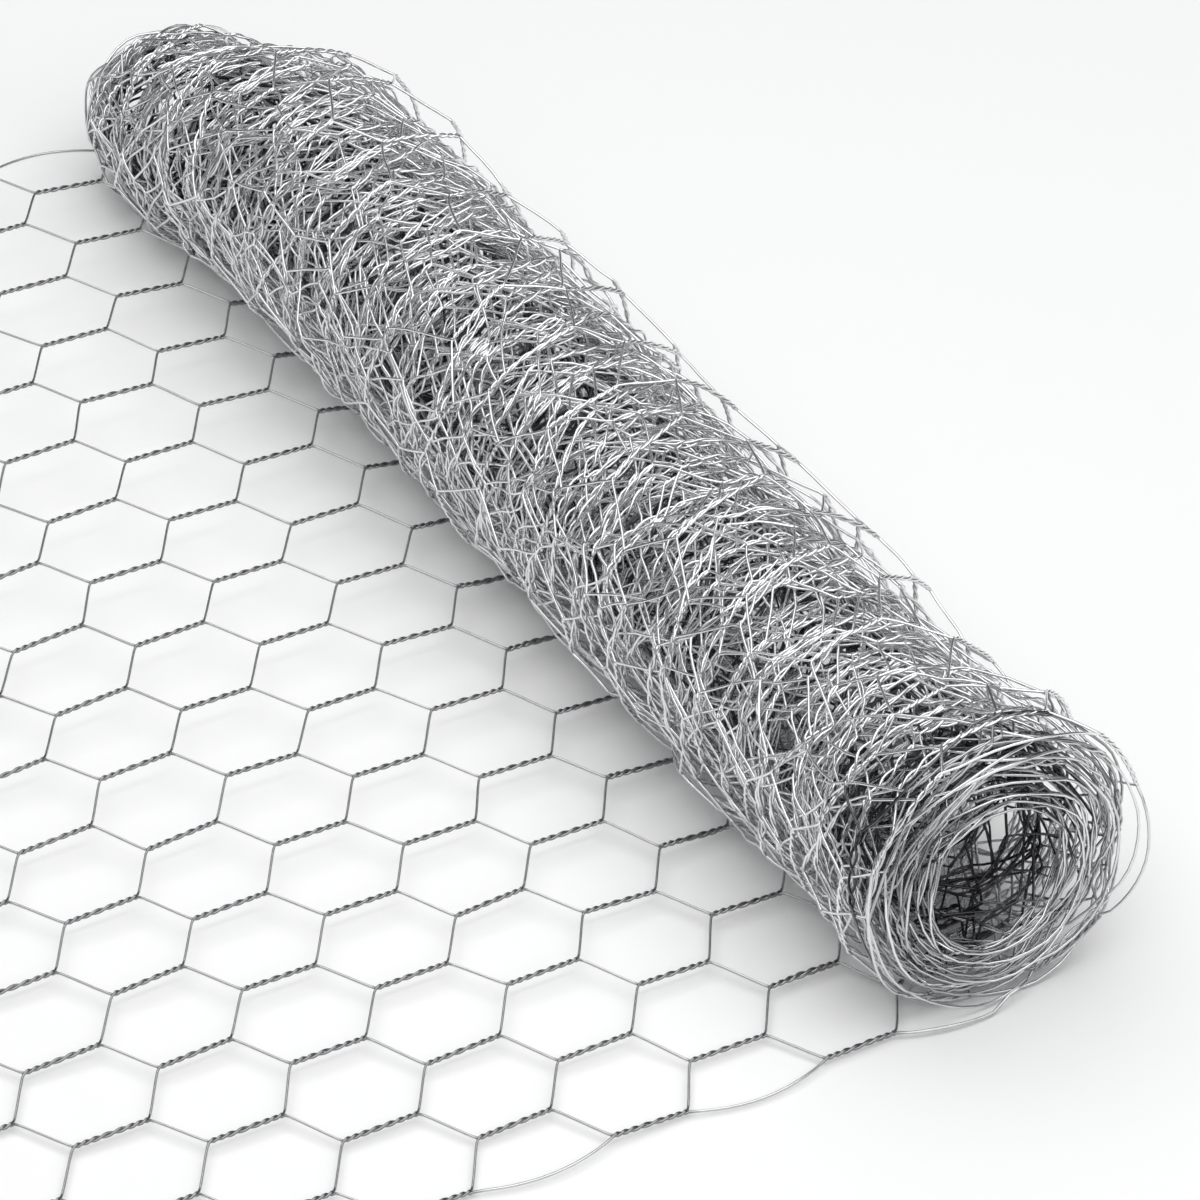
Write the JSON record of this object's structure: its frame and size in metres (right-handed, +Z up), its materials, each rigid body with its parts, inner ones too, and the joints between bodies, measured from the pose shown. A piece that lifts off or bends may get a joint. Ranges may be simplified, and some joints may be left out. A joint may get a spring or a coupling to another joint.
{
  "type": "roll of hexagonal wire netting",
  "caption": "Roll of galvanised hexagonal wire netting on its side, with its outer end unrolled on the floor and an open bore through the roll.",
  "frame": {"origin": "on the floor, below the middle of the whole part's box", "axes": "+Y along the roll's axis, +X from the cut end of the loose netting towards the roll, +Z up"},
  "size_m": [0.418, 0.611, 0.0982],
  "materials": {
    "galvanised_wire": "galvanised, satin grey with bright highlights"
  },
  "bodies": {
    "root": {"netting_roll": "galvanised_wire", "loose_end": "galvanised_wire"}
  },
  "joints": []
}
